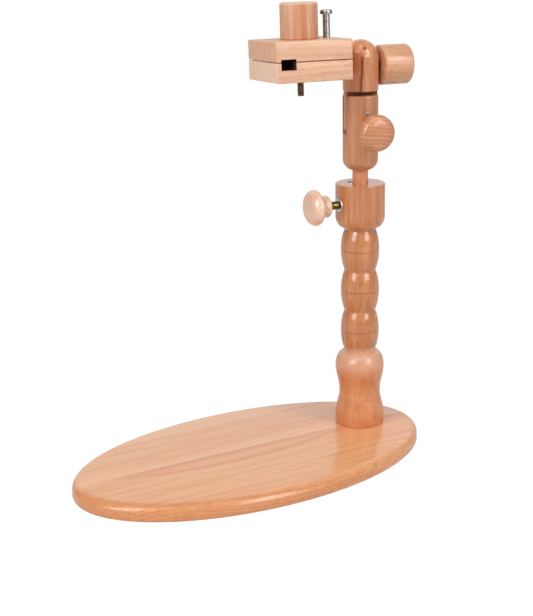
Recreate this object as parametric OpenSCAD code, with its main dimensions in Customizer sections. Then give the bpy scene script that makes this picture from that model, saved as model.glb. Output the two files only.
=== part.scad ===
// Table stand for an embroidery hoop: an oval board, a turned column with a sliding rod,
// an elbow that tilts, and a two-jaw wooden clamp for the rim of the hoop.
// Origin: centre of the board's underside. +X runs along the board towards the column.

/* [Board] */
// Length of the oval board
base_len = 280; // [240:1:320]
// Width of the oval board
base_wid = 160; // [130:1:200]
// Thickness of the board
base_thick = 12; // [10:0.5:18]
// Radius of the board's upper edge
base_top_round = 6; // [3:0.5:7]
// Radius of the board's lower edge
base_bottom_round = 3; // [1:0.5:3]
// Distance from the end of the board to the column's axis
column_inset = 41.7; // [36:0.1:60]

/* [Column] */
// Height of the column above the board
column_h = 183.8; // [170:0.1:220]
// Diameter of the foot
foot_d = 36.4; // [32:0.1:40]
// Diameter of the waist above the foot
waist_d = 30.4; // [26:0.1:32]
// Diameter of the shoulder bulge
shoulder_d = 36.3; // [34:0.1:40]
// Diameter of the beads at their middle
bead_d = 28.4; // [26:0.1:30]
// Diameter of the necks between the beads
neck_d = 23; // [21:0.1:25]
// Diameter of the collar at the top
collar_d = 36.3; // [34:0.1:40]
// Depth of the fine groove round each bead
bead_groove = 0.5; // [0.2:0.1:1]

/* [Rod] */
// Diameter of the sliding rod
rod_d = 11.5; // [10:0.1:13]
// Length of rod that shows between the collar and the barrel
rod_out = 9.7; // [9:0.1:30]
// Length of rod inside the column
rod_in = 116; // [100:1:120]

/* [Elbow] */
// Swivel of everything above the rod, as set
swivel = -13.5; // [-45:0.5:45]
// Diameter of the barrel and of the elbow head
barrel_d = 25.6; // [24:0.1:30]
// Height of the barrel
barrel_h = 54.5; // [50:0.1:70]
// Radius of the barrel's lower edge
barrel_round = 8; // [5:0.5:9]
// Height of the tilt pivot above the barrel's underside
pivot_rise = 30.5; // [28:0.1:34]
// Thickness of the head's tongue
tongue_t = 5.6; // [5:0.1:8]
// Gap between the barrel's top and the head
elbow_gap = 3; // [2.8:0.1:5]
// Height of the head's screw axis above the pivot
head_rise = 44; // [42:0.1:50]
// Height of the cheek pin above the pivot
pin_rise = 11; // [9:0.5:14]
// Diameter of the cheek pin
pin_d = 3; // [2:0.1:4]

/* [Knobs and screws] */
// Diameter of the three knob screws
knob_screw_d = 6; // [5:0.5:8]
// Outer diameter of their threaded inserts
insert_d = 9.2; // [8:0.1:10]
// Diameter of the two turned knobs
turned_knob_d = 26.2; // [24:0.1:30]
// Length of the two turned knobs
turned_knob_l = 16.5; // [14:0.1:20]
// Direction in which the collar's knob points
side_angle = 172; // [150:1:190]
// Height of the collar's knob below the column's top
side_drop = 14.8; // [12:0.1:18]
// Length of bare thread between the collar and its knob
side_gap = 8.6; // [2:0.1:9]
// Length of bare thread between the barrel and its knob
pivot_gap = 5.3; // [0.3:0.1:9]
// Diameter of the plain knob behind the head
head_knob_d = 28.4; // [24:0.1:32]
// Length of the plain knob behind the head
head_knob_l = 22.6; // [18:0.1:30]
// Gap between that knob and the head
head_knob_gap = 0.8; // [0.4:0.1:2]

/* [Clamp] */
// Roll of the clamp about the head's screw, as set
clamp_roll = 3; // [0:0.5:10]
// Length of the jaws, away from the head
jaw_len = 56.3; // [50:0.1:70]
// Width of the jaws
jaw_wid = 56.3; // [44:0.1:70]
// Thickness of one jaw
jaw_t = 13.7; // [12:0.1:18]
// Gap between the closed jaws
jaw_gap = 0.5; // [0.2:0.1:1]
// Distance from the head's surface to the jaws
jaw_off = 5.4; // [4:0.1:8]
// Width of the groove that takes the hoop's rim
groove_w = 11.1; // [8:0.1:14]
// Distance from the jaws' free end to the groove
groove_in = 3.4; // [3:0.1:8]
// Depth of the groove in the lower jaw
groove_low = 5.1; // [4:0.1:8]
// Depth of the groove in the upper jaw
groove_up = 1.9; // [1:0.1:4]
// Diameter of the two upright screws
stud_d = 5; // [4:0.5:6]
// Length of the clamp's stud
stud_l = 62; // [56:1:64]
// Length of stud below the lower jaw
stud_out = 11.5; // [9:0.1:12]
// Diameter of the clamp's knob
clamp_knob_d = 26.6; // [22:0.1:30]
// Height of the clamp's knob
clamp_knob_h = 25.4; // [24:0.1:32]
// Distance from the jaws' inner end to the heel screw
heel_in = 7.5; // [7:0.1:12]
// Height of the heel screw's head above the upper jaw
heel_out = 19.4; // [14:0.1:22]

/* [Hidden] */
$fn = 96;

// Running clearance of a shaft in its hole, on the radius
run = 0.05;
// Loose clearance of a screw in a plain hole, on the radius
loose = 0.4;
// Clearance of the tongue in its slot, on each face
slot_play = 0.3;
// Gap between parts of two bodies that come close
near = 0.3;
// How far a cut reaches past the surface that it opens
over = 1;
// Step that keeps two points of an outline apart
hair = 0.01;
// Room in a blind bore beyond the screw's tip
tip_room = 1;
// Chamfer on the ends of the screws
screw_bevel = 0.5;
// Segments of one arc of a turned outline
steps = 10;
// Sides of the board's oval outline
oval_sides = 80;

wood_pale = "#e3b48f";
wood_warm = "#cf8f63";
zinc = "#c9ccd2";
brass = "#9a8348";

column_x = base_len / 2 - column_inset;
column_top = base_thick + column_h;
foot_r = foot_d / 2;
neck_r = neck_d / 2;
bead_r = bead_d / 2;
collar_r = collar_d / 2;
rod_r = rod_d / 2;
barrel_r = barrel_d / 2;
screw_r = knob_screw_d / 2;
insert_r = insert_d / 2;
stud_r = stud_d / 2;

// Heights of the column's turned features above its foot
foot_h = 8;
waist_z = 25.5;
shoulder_z = 45.5;
shoulder_fall = 11;
bead_z = 57.5;
bead_pitch = 30.7;
beads = 3;
// Share of a bead that stays full before it falls to the neck, and the gap between two beads
bead_fullness = 2.2;
bead_gap = 0.2;
collar_z = bead_z + beads * bead_pitch;
// Height of the cove under the collar, its step at the neck, and the curve above it
cove_h = 1.7;
cove_step = 0.9;
collar_round = 8.5;
foot_bevel = 0.4;
collar_bevel = 0.6;

// Screw from beneath that holds the column: head, shank, thread and point
post_screw_head_r = 5;
post_screw_shank_r = 2.5;
post_screw_core_r = 2.2;
post_screw_cone = 2.3;
post_screw_in = 36;
post_screw_point = 6;
post_screw_point_r = 0.3;
post_screw_sunk = 0.3;
post_screw_slope = (post_screw_head_r - post_screw_shank_r) / post_screw_cone;

// The rod's travel goes down until the barrel is just above the collar
rod_travel_down = 9;
socket_floor = 1;
barrel_z = column_top + rod_out;
barrel_top = barrel_z + barrel_h;
pivot_z = barrel_z + pivot_rise;
slot_w = tongue_t + 2 * slot_play;
// Room under the tongue's round end
tongue_room = 0.6;
slot_r = barrel_r + tongue_room;
slot_floor = pivot_z - slot_r;
// Wood left between the rod's top and the slot
rod_seat = 1.6;
rod_bevel = 0.6;
barrel_top_round = 1.5;
rod_top = slot_floor - rod_seat;
rod_bottom = column_top - rod_in;

head_z = pivot_z + head_rise;
head_bottom = barrel_top + elbow_gap;
head_edge = 0.8;
// Height of the dome's centre above the head's screw
dome_rise = 6.1;
dome_z = head_z + dome_rise;
// Washer between head and clamp, and the depth of the flat that it sits in
spacer_r = 9;
flat_depth = 1;

// Cheek pin: wood left behind it, how far it stands proud, and its rounded end
pin_skin = 0.6;
pin_proud = 0.1;
pin_round = 0.4;
// Pivot insert and screw: how deep they sit in the far cheek, and the wood left before the slot
pivot_insert_in = 0.9;
pivot_screw_in = 2;
cheek_skin = 1.2;

side_z = column_top - side_drop;
side_knob_at = collar_r + side_gap;
insert_flange_r = 5.2;
insert_flange_t = 1.2;
insert_proud = 0.3;
insert_l = 9;

// Turned knob: radii and heights of its boss, neck, widest place and face
knob_boss_r = 8.1;
knob_boss_round = 1.7;
knob_neck_r = 7.6;
knob_neck_z = 3.8;
knob_wide_z = 10.4;
knob_face_r = 7.9;
knob_crown = 0.6;
// Length of screw inside the turned knobs and inside the plain knob
knob_screw_in = 10.5;
head_knob_screw_in = 16;
head_knob_round = 1.6;

jaw_x = -(barrel_r + jaw_off);
jaw_mid = jaw_x - jaw_len / 2;
jaw_end = jaw_x - jaw_len;
upper_z = jaw_t / 2 + jaw_gap;
upper_top = upper_z + jaw_t;
stud_bottom = -jaw_t / 2 - stud_out;
stud_top = stud_bottom + stud_l;
jaw_bevel = 0.8;
end_insert_l = 5.5;
stud_insert_r = 4;
stud_insert_l = 10;
clamp_knob_round = 1.4;
// How far the clamp knob's insert sits back from the jaw
knob_insert_back = 0.2;
heel_x = jaw_x - heel_in;
heel_insert_r = 3.6;
heel_flange_r = 5.6;
heel_flange_t = 0.6;
// Wood left under the heel screw's insert
heel_skin = 1.5;
heel_head_r = 4.35;
heel_head_h = 3;
heel_head_edge = 0.5;
heel_head_crown = 1.2;

// Points of an arc about (cr, cz) with radii rr and rz, from angle a0 to a1
function arc(cr, cz, rr, rz, a0, a1) =
    [for (i = [0 : steps]) let (a = a0 + (a1 - a0) * i / steps) [cr + rr * cos(a), cz + rz * sin(a)]];

// Points of a smooth S between two radii
function flow(r0, z0, r1, z1) =
    [for (i = [0 : steps]) let (t = i / steps) [r0 + (r1 - r0) * (1 - cos(180 * t)) / 2, z0 + (z1 - z0) * t]];

// Points of one bead, with a fine V groove round its middle
function half_bead(z, dir) =
    [for (i = [0 : steps - 1]) let (u = dir < 0 ? 1 - i / steps : (i + 1) / steps)
        [bead_r - (bead_r - neck_r) * pow(u, bead_fullness), z + dir * u * (bead_pitch / 2 - bead_gap)]];
function bead(z) = concat(half_bead(z, -1),
    [[bead_r, z - bead_groove], [bead_r - bead_groove, z], [bead_r, z + bead_groove]],
    half_bead(z, 1));

// Solid turned about Z from the outline's points, which run upwards from the axis to the axis
module turned(points) {
    rotate_extrude() polygon(concat([[0, points[0][1]]], points, [[0, points[len(points) - 1][1]]]));
}

// Cylinder with both edges rounded
module rounded_disc(r, h, e) {
    turned(concat(arc(r - e, e, e, e, -90, 0), arc(r - e, h - e, e, e, 0, 90)));
}

// The frames in which the pieces stand: on the column's axis, above the rod, and on the clamp
module on_column() {
    translate([column_x, 0, 0]) children();
}
module on_arm() {
    on_column() rotate([0, 0, swivel]) children();
}
module on_clamp() {
    on_arm() translate([0, 0, head_z]) rotate([-clamp_roll, 0, 0]) children();
}

// Axes that lie flat: each child stands along +Z and is laid down
module along_side() {
    on_column() rotate([0, 0, side_angle]) translate([0, 0, side_z]) rotate([0, 90, 0]) children();
}
module along_pivot() {
    on_arm() translate([0, 0, pivot_z]) rotate([90, 0, 0]) children();
}
module along_head() {
    rotate([0, 90, 0]) children();
}

// Inset and height of each ring of the board's rounded edge, from the underside up
edge_rings = concat(
    [for (a = [90 : -30 : 0]) [base_bottom_round * (1 - cos(a)), base_bottom_round * (1 - sin(a))]],
    [for (a = [0 : 18 : 90]) [base_top_round * (1 - cos(a)), base_thick - base_top_round * (1 - sin(a))]]);

// Oval board as rings of points joined by triangles, with a flat cap at both ends
module oval_board() {
    n = oval_sides;
    m = len(edge_rings);
    points = [for (ring = edge_rings, i = [0 : n - 1]) let (a = 360 * i / n)
        [(base_len / 2 - ring[0]) * cos(a), (base_wid / 2 - ring[0]) * sin(a), ring[1]]];
    sides = [for (k = [0 : m - 2], i = [0 : n - 1], half = [0, 1])
        let (p = k * n + i, q = k * n + (i + 1) % n)
            half == 0 ? [p, p + n, q] : [q, p + n, q + n]];
    polyhedron(points, concat(sides, [[for (i = [0 : n - 1]) i]],
        [[for (i = [n - 1 : -1 : 0]) (m - 1) * n + i]]));
}

module base_board() {
    color(wood_pale)
        difference() {
            oval_board();
            on_column() translate([0, 0, -over])
                cylinder(r = post_screw_shank_r + loose, h = base_thick + 2 * over);
            on_column() translate([0, 0, -over])
                cylinder(r1 = post_screw_head_r + loose + post_screw_slope * (post_screw_sunk + over),
                    r2 = post_screw_shank_r + loose, h = over + post_screw_sunk + post_screw_cone);
        }
}

module column() {
    color(wood_warm)
        difference() {
            on_column() translate([0, 0, base_thick])
                turned(concat(
                    [[foot_r - foot_bevel, 0], [foot_r, foot_bevel]],
                    flow(foot_r, foot_h, waist_d / 2, waist_z),
                    flow(waist_d / 2, waist_z + hair, shoulder_d / 2, shoulder_z),
                    arc(neck_r, shoulder_z + hair, shoulder_d / 2 - neck_r, shoulder_fall, 0, 90),
                    [for (i = [0 : beads - 1]) each bead(bead_z + (i + 0.5) * bead_pitch)],
                    arc(neck_r + cove_step, collar_z + cove_h + collar_round,
                        collar_r - neck_r - cove_step, collar_round, -90, 0),
                    [[collar_r, column_h - collar_bevel], [collar_r - collar_bevel, column_h]]));
            on_column() translate([0, 0, rod_bottom - rod_travel_down - socket_floor])
                cylinder(r = rod_r + run, h = rod_in + rod_travel_down + socket_floor + over);
            on_column() translate([0, 0, base_thick - over])
                cylinder(r = post_screw_core_r, h = over + post_screw_in + tip_room);
            along_side() cylinder(r = screw_r + loose, h = collar_r);
            along_side() translate([0, 0, collar_r - insert_l]) cylinder(r = insert_r, h = insert_l + over);
            along_side() translate([0, 0, collar_r - insert_flange_t + insert_proud])
                cylinder(r = insert_flange_r, h = insert_flange_t + over);
        }
}

// Countersunk screw that holds the column to the board from beneath
module column_screw() {
    color(zinc)
        on_column()
            turned([[post_screw_head_r, post_screw_sunk],
                [post_screw_shank_r, post_screw_sunk + post_screw_cone],
                [post_screw_shank_r, base_thick],
                [post_screw_core_r, base_thick],
                [post_screw_core_r, base_thick + post_screw_in - post_screw_point],
                [post_screw_point_r, base_thick + post_screw_in]]);
}

module side_insert() {
    color(zinc)
        along_side()
            difference() {
                union() {
                    translate([0, 0, collar_r - insert_l])
                        cylinder(r = insert_r, h = insert_l + insert_proud);
                    translate([0, 0, collar_r - insert_flange_t + insert_proud])
                        cylinder(r = insert_flange_r, h = insert_flange_t);
                }
                cylinder(r = screw_r + run, h = collar_r + insert_proud + over);
            }
}

module side_screw() {
    color(brass)
        along_side() translate([0, 0, rod_r + near])
            cylinder(r = screw_r, h = side_knob_at + knob_screw_in - rod_r - near);
}

// Knob with a small boss, a neck and a wide domed disc, on +Z with its boss at zero
module turned_knob() {
    wide_r = turned_knob_d / 2;
    difference() {
        turned(concat(
            arc(knob_boss_r - knob_boss_round, knob_boss_round, knob_boss_round, knob_boss_round, -90, 25),
            flow(knob_neck_r, knob_neck_z, wide_r, knob_wide_z),
            arc(knob_face_r, knob_wide_z + hair, wide_r - knob_face_r,
                turned_knob_l - knob_crown - knob_wide_z, 0, 82),
            [for (a = [20, 50, 88]) [knob_face_r * cos(a), turned_knob_l - knob_crown * (1 - sin(a))]]));
        translate([0, 0, -over]) cylinder(r = screw_r + run, h = over + knob_screw_in + tip_room);
    }
}

module side_knob() {
    color(wood_pale) along_side() translate([0, 0, side_knob_at]) turned_knob();
}

module rod() {
    color(wood_warm)
        on_column() translate([0, 0, rod_bottom])
            turned([[rod_r - rod_bevel, 0], [rod_r, rod_bevel],
                [rod_r, rod_top - rod_bottom - rod_bevel],
                [rod_r - rod_bevel, rod_top - rod_bottom]]);
}

// Lower half of the elbow: a barrel with a through-slot whose floor is an arc about the pivot
module barrel() {
    color(wood_warm)
        difference() {
            on_arm() translate([0, 0, barrel_z])
                turned(concat(
                    arc(barrel_r - barrel_round, barrel_round, barrel_round, barrel_round, -90, 0),
                    arc(barrel_r - barrel_top_round, barrel_h - barrel_top_round,
                        barrel_top_round, barrel_top_round, 0, 90)));
            on_arm() translate([-barrel_d, -slot_w / 2, pivot_z]) cube([2 * barrel_d, slot_w, barrel_h]);
            along_pivot() translate([0, 0, -slot_w / 2]) cylinder(r = slot_r, h = slot_w);
            on_arm() translate([0, 0, barrel_z - over])
                cylinder(r = rod_r + run, h = over + rod_top + near - barrel_z);
            along_pivot() cylinder(r = screw_r + run, h = barrel_d);
            along_pivot() translate([0, 0, -barrel_d])
                cylinder(r = insert_r, h = barrel_d - slot_w / 2 - cheek_skin);
            along_pivot() translate([0, 0, -barrel_r]) cylinder(r = screw_r + loose, h = barrel_r);
            along_pivot() translate([0, pin_rise, slot_w / 2 + pin_skin])
                cylinder(r = pin_d / 2, h = barrel_d);
        }
}

module cheek_pin() {
    color(zinc)
        along_pivot() translate([0, pin_rise, slot_w / 2 + pin_skin])
            rounded_disc(pin_d / 2, barrel_r + pin_proud - slot_w / 2 - pin_skin, pin_round);
}

module pivot_insert() {
    color(zinc)
        along_pivot() translate([0, 0, -barrel_r + pivot_insert_in])
            difference() {
                cylinder(r = insert_r, h = barrel_r - pivot_insert_in - slot_w / 2 - cheek_skin);
                translate([0, 0, -over]) cylinder(r = screw_r + run, h = barrel_r);
            }
}

module pivot_screw() {
    color(brass)
        along_pivot() translate([0, 0, -barrel_r + pivot_screw_in])
            cylinder(r = screw_r, h = 2 * barrel_r - pivot_screw_in + pivot_gap + knob_screw_in);
}

module pivot_knob() {
    color(wood_pale) along_pivot() translate([0, 0, barrel_r + pivot_gap]) turned_knob();
}

// Upper half of the elbow: a domed head with a tongue that is round about the pivot
module elbow_head() {
    color(wood_warm)
        difference() {
            union() {
                on_arm() translate([0, 0, head_bottom])
                    turned(concat(
                        arc(barrel_r - head_edge, head_edge, head_edge, head_edge, -90, 0),
                        arc(hair, dome_z - head_bottom, barrel_r - hair, barrel_r, 0, 89)));
                intersection() {
                    on_arm() cylinder(r = barrel_r, h = head_z);
                    union() {
                        along_pivot() translate([0, 0, -tongue_t / 2]) cylinder(r = barrel_r, h = tongue_t);
                        on_arm() translate([-barrel_d, -tongue_t / 2, pivot_z])
                            cube([2 * barrel_d, tongue_t, head_z - pivot_z]);
                    }
                }
            }
            along_pivot() translate([0, 0, -barrel_r]) cylinder(r = screw_r + run, h = barrel_d);
            on_arm() translate([0, 0, head_z]) along_head() translate([0, 0, -barrel_d])
                cylinder(r = screw_r + run, h = 2 * barrel_d);
            on_arm() translate([0, 0, head_z]) along_head() translate([0, 0, -barrel_d])
                cylinder(r = spacer_r + near, h = barrel_d - barrel_r + flat_depth);
        }
}

// Wooden washer between the flat on the head and the lower jaw
module jaw_spacer() {
    color(wood_pale)
        on_clamp() along_head() translate([0, 0, jaw_x])
            difference() {
                cylinder(r = spacer_r, h = jaw_off + flat_depth);
                translate([0, 0, -over]) cylinder(r = screw_r + run, h = barrel_r);
            }
}

module head_screw() {
    color(brass)
        on_clamp() along_head() translate([0, 0, jaw_x - end_insert_l + near])
            cylinder(r = screw_r,
                h = end_insert_l - near - jaw_x + barrel_r + head_knob_gap + head_knob_screw_in);
}

module head_knob() {
    color(wood_pale)
        on_clamp() along_head() translate([0, 0, barrel_r + head_knob_gap])
            difference() {
                rounded_disc(head_knob_d / 2, head_knob_l, head_knob_round);
                translate([0, 0, -over])
                    cylinder(r = screw_r + run, h = over + head_knob_screw_in + tip_room);
            }
}

module end_insert() {
    color(zinc)
        on_clamp() along_head() translate([0, 0, jaw_x - end_insert_l])
            difference() {
                cylinder(r = insert_r, h = end_insert_l);
                translate([0, 0, -over]) cylinder(r = screw_r + run, h = end_insert_l + 2 * over);
            }
}

// Block with bevelled edges, standing on z = 0 with its inner end at jaw_x
module jaw_block() {
    e = jaw_bevel;
    translate([jaw_end, -jaw_wid / 2, 0])
        intersection() {
            linear_extrude(jaw_t)
                polygon([[e, 0], [jaw_len - e, 0], [jaw_len, e], [jaw_len, jaw_wid - e],
                    [jaw_len - e, jaw_wid], [e, jaw_wid], [0, jaw_wid - e], [0, e]]);
            rotate([90, 0, 90])
                linear_extrude(jaw_len)
                    polygon([[e, 0], [jaw_wid - e, 0], [jaw_wid, e], [jaw_wid, jaw_t - e],
                        [jaw_wid - e, jaw_t], [e, jaw_t], [0, jaw_t - e], [0, e]]);
        }
}

module groove(z, h) {
    translate([jaw_end + groove_in, -jaw_wid, z]) cube([groove_w, 2 * jaw_wid, h]);
}

module lower_jaw() {
    color(wood_pale)
        on_clamp()
            difference() {
                translate([0, 0, -jaw_t / 2]) jaw_block();
                groove(jaw_t / 2 - groove_low, groove_low + over);
                along_head() translate([0, 0, jaw_x - end_insert_l])
                    cylinder(r = insert_r, h = end_insert_l + over);
                translate([jaw_mid, 0, -jaw_t]) cylinder(r = stud_r + loose, h = 2 * jaw_t);
                translate([jaw_mid, 0, -jaw_t / 2 - over])
                    cylinder(r = stud_insert_r, h = stud_insert_l + over);
            }
}

module stud_insert() {
    color(zinc)
        on_clamp() translate([jaw_mid, 0, -jaw_t / 2])
            difference() {
                cylinder(r = stud_insert_r, h = stud_insert_l);
                translate([0, 0, -over]) cylinder(r = stud_r + run, h = stud_insert_l + 2 * over);
            }
}

module clamp_stud() {
    color(brass)
        on_clamp() translate([jaw_mid, 0, stud_bottom])
            turned([[stud_r - screw_bevel, 0], [stud_r, screw_bevel],
                [stud_r, stud_l - screw_bevel], [stud_r - screw_bevel, stud_l]]);
}

module upper_jaw() {
    color(wood_pale)
        on_clamp()
            difference() {
                translate([0, 0, upper_z]) jaw_block();
                groove(upper_z - over, groove_up + over);
                translate([jaw_mid, 0, 0]) cylinder(r = stud_r + loose, h = 2 * upper_top);
                translate([heel_x, 0, 0]) cylinder(r = heel_insert_r, h = 2 * upper_top);
                translate([heel_x, 0, upper_top - heel_flange_t])
                    cylinder(r = heel_flange_r, h = heel_flange_t + over);
            }
}

module heel_insert() {
    color(zinc)
        on_clamp() translate([heel_x, 0, upper_z + heel_skin])
            difference() {
                union() {
                    cylinder(r = heel_insert_r, h = jaw_t - heel_skin);
                    translate([0, 0, jaw_t - heel_skin - heel_flange_t])
                        cylinder(r = heel_flange_r, h = heel_flange_t);
                }
                translate([0, 0, -over]) cylinder(r = stud_r + run, h = jaw_t + 2 * over);
            }
}

// Screw whose tip bears on the lower jaw and sets the gap at the jaws' inner end
module heel_screw() {
    head_at = jaw_t + heel_out - heel_head_h;
    color(zinc)
        on_clamp() translate([heel_x, 0, upper_z])
            turned(concat(
                [[stud_r - screw_bevel, 0], [stud_r, screw_bevel], [stud_r, head_at]],
                arc(heel_head_r - heel_head_edge, head_at + heel_head_edge,
                    heel_head_edge, heel_head_edge, -90, 0),
                arc(heel_head_r - heel_head_crown, head_at + heel_head_h - heel_head_crown,
                    heel_head_crown, heel_head_crown, 0, 90)));
}

module clamp_knob() {
    color(wood_warm)
        on_clamp() translate([jaw_mid, 0, upper_top])
            difference() {
                rounded_disc(clamp_knob_d / 2, clamp_knob_h, clamp_knob_round);
                translate([0, 0, -over]) cylinder(r = stud_insert_r, h = stud_insert_l + over);
                cylinder(r = stud_r + loose, h = stud_top - upper_top + tip_room);
            }
}

module clamp_knob_insert() {
    color(zinc)
        on_clamp() translate([jaw_mid, 0, upper_top + knob_insert_back])
            difference() {
                cylinder(r = stud_insert_r, h = stud_insert_l - knob_insert_back);
                translate([0, 0, -over]) cylinder(r = stud_r + run, h = stud_insert_l + 2 * over);
            }
}

base_board();
column();
column_screw();
side_insert();
side_screw();
side_knob();
rod();
barrel();
cheek_pin();
pivot_insert();
pivot_screw();
pivot_knob();
elbow_head();
jaw_spacer();
head_screw();
head_knob();
end_insert();
lower_jaw();
stud_insert();
clamp_stud();
upper_jaw();
heel_insert();
heel_screw();
clamp_knob();
clamp_knob_insert();
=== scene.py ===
# %% [markdown]
# # A table stand for an embroidery hoop, in lacquered beech
# The real stand is turned and sawn from beech: an oval board, a beaded column, a rod that slides
# in it, an elbow that tilts, and a clamp of two square jaws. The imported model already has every
# part in its place, so this lesson only dresses it: each piece is made again with finer curves,
# real threads and wood that has its grain inside, and it rides on the body of the part it stands
# for. We start by loading the frame, because every later cell reads its places from it.

# %% Load the frame
import math

import bmesh
import bpy
from mathutils import Matrix, Vector


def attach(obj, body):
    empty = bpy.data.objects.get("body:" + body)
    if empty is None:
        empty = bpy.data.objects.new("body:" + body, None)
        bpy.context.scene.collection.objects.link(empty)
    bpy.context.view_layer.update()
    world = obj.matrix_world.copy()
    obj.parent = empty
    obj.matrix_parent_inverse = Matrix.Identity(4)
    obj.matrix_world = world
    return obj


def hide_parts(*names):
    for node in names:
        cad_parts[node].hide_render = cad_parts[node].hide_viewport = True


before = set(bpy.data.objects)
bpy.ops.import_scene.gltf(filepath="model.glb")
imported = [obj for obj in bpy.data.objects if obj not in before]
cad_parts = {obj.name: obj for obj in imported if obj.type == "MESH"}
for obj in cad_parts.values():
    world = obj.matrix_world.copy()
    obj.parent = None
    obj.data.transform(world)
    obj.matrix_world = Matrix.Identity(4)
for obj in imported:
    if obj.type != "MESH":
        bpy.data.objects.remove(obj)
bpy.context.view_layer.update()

# %% [markdown]
# ## Where the pieces stand
# The scene is in metres and a turner works in millimetres, so every size below is written in
# millimetres and turned into metres once, in the place matrix of its piece. A place is the frame
# of a part: on the column's axis, above the rod, on the clamp, or along one of the knob screws.
# Writing them once means that a thread, its knob and its insert can't drift apart.

# %% Places of the parts
MM = 0.001
column_x = 98.3
column_top = 195.8
barrel_z = 205.5
pivot_z = 236.0
head_z = 280.0
side_z = 181.0
arm_swivel = math.radians(-13.5)
clamp_roll = math.radians(-3)
side_turn = math.radians(172)
lay_down = Matrix.Rotation(math.radians(90), 4, "Y")
face_front = Matrix.Rotation(math.radians(90), 4, "X")


def shift(x=0, y=0, z=0):
    return Matrix.Translation((x, y, z))


metres = Matrix.Scale(MM, 4)
on_column = metres @ shift(column_x)
on_arm = on_column @ Matrix.Rotation(arm_swivel, 4, "Z")
along_pivot = on_arm @ shift(z=pivot_z) @ face_front
on_clamp = on_arm @ shift(z=head_z) @ Matrix.Rotation(clamp_roll, 4, "X")
along_head = on_clamp @ lay_down
to_side = Matrix.Rotation(side_turn, 4, "Z") @ shift(z=side_z) @ lay_down
along_side = on_column @ to_side
print("clamp's centre line starts at", [round(v, 4) for v in on_clamp.translation])

# %% [markdown]
# ## Camera
# The photograph was taken from the near left, a little above the clamp, with a long lens. A long
# lens keeps the oval of the board calm and the post upright. The numbers come from fitting the
# board's outline, the post's edges and the collar, so the render can be laid over the photograph.
# The camera has no shift and no depth of field.

# %% Make the camera
image_height_px = 616
sensor_mm = 36.0
camera_turn = math.radians(-33.18)
camera_rise = math.radians(22.15)
camera_distance = 1.0609
aim_up = math.radians(6.12)
aim_right = math.radians(0.68)
camera_lean = math.radians(-1.13)
focal_px = 1448.1
far_enough = 50


def direction(turn, rise):
    """Unit vector away from the stand. Turn 0 is its front, and rise 0 is level."""
    return Vector((math.sin(turn) * math.cos(rise), -math.cos(turn) * math.cos(rise), math.sin(rise)))


def swung(a, b, angle):
    """Two directions at right angles, both turned by an angle from a towards b."""
    return a * math.cos(angle) + b * math.sin(angle), b * math.cos(angle) - a * math.sin(angle)


def aim_camera():
    """Place and turn of the camera, from its turn round the board and three small corrections."""
    back = direction(camera_turn, camera_rise)
    ahead, right = -back, Vector((math.cos(camera_turn), math.sin(camera_turn), 0))
    up = right.cross(ahead)
    ahead, right = swung(ahead, right, aim_right)
    ahead, up = swung(ahead, up, aim_up)
    right, up = swung(right, up, camera_lean)
    turn = Matrix((right, up, -ahead)).transposed().to_4x4()
    return Matrix.Translation(back * camera_distance) @ turn


scene = bpy.context.scene
camera = bpy.data.objects.new("camera", bpy.data.cameras.new("camera"))
camera.data.sensor_width = sensor_mm
camera.data.lens = focal_px / image_height_px * sensor_mm
camera.data.clip_end = far_enough
camera.matrix_world = aim_camera()
scene.collection.objects.link(camera)
scene.camera = camera
print("lens in mm:", round(camera.data.lens, 1))

# %% [markdown]
# ## Helpers for shader nodes
# Every finish below is a small net of nodes. Making and joining them by hand takes many lines, so
# these helpers each make one node, feed it and give back its output, and a finish then reads like
# a formula. An output knows which net it belongs to, so a helper puts its node beside the values
# that it is given. A mask is a value from 0 to 1 that says where something holds.

# %% Values and masks
def join(source, target):
    """Links an output to an input, or sets a plain value on the input."""
    if hasattr(source, "is_output"):
        target.id_data.links.new(source, target)
    else:
        target.default_value = source


def beside(kind, *values):
    """New node in the net of the first output among the values."""
    net = next(value.id_data for value in values if hasattr(value, "is_output"))
    return net.nodes.new("ShaderNode" + kind)


def fed(kind, *values):
    """New node beside the values, with each of them on its inputs in turn."""
    node = beside(kind, *values)
    for value, target in zip(values, node.inputs):
        join(value, target)
    return node


def math_node(operation, *values, clamp=False):
    node = fed("Math", *values)
    node.operation, node.use_clamp = operation, clamp
    return node.outputs["Value"]


def spread(mask, low, high):
    """A mask's 0 to 1 laid out over the range from low to high."""
    return fed("MapRange", mask, 0.0, 1.0, low, high).outputs["Result"]


def band(value, low, high):
    """Mask that rises smoothly from 0 at low to 1 at high, or falls where low is above high."""
    ends = (0.0, 1.0) if low <= high else (1.0, 0.0)
    node = fed("MapRange", value, *sorted((low, high)), *ends)
    node.interpolation_type = "SMOOTHSTEP"
    return node.outputs["Result"]


def all_of(first, *others):
    """Mask of the places where every given mask holds."""
    for mask in others:
        first = math_node("MULTIPLY", first, mask)
    return first


def length_of(a, b):
    """Length of the slanted side over a and b."""
    return math_node("SQRT", math_node("ADD", math_node("MULTIPLY", a, a), math_node("MULTIPLY", b, b)))


print("helpers for masks are ready")


# %% Places and patterns
def split(position):
    """The three parts of a position."""
    return tuple(fed("SeparateXYZ", position).outputs)


def vector_node(operation, *values):
    node = fed("VectorMath", *values)
    node.operation = operation
    return node.outputs


def stretched(position, scale):
    """Position with each of its parts scaled by its own number."""
    return vector_node("MULTIPLY", position, scale)["Vector"]


def distance(position, point):
    return vector_node("DISTANCE", position, point)["Value"]


def noise(position, scale, detail=3.0, roughness=0.55):
    """Soft random pattern, from 0 to 1."""
    node = fed("TexNoise", position)
    for name, value in (("Scale", scale), ("Detail", detail), ("Roughness", roughness)):
        node.inputs[name].default_value = value
    return node.outputs["Fac"]


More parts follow.
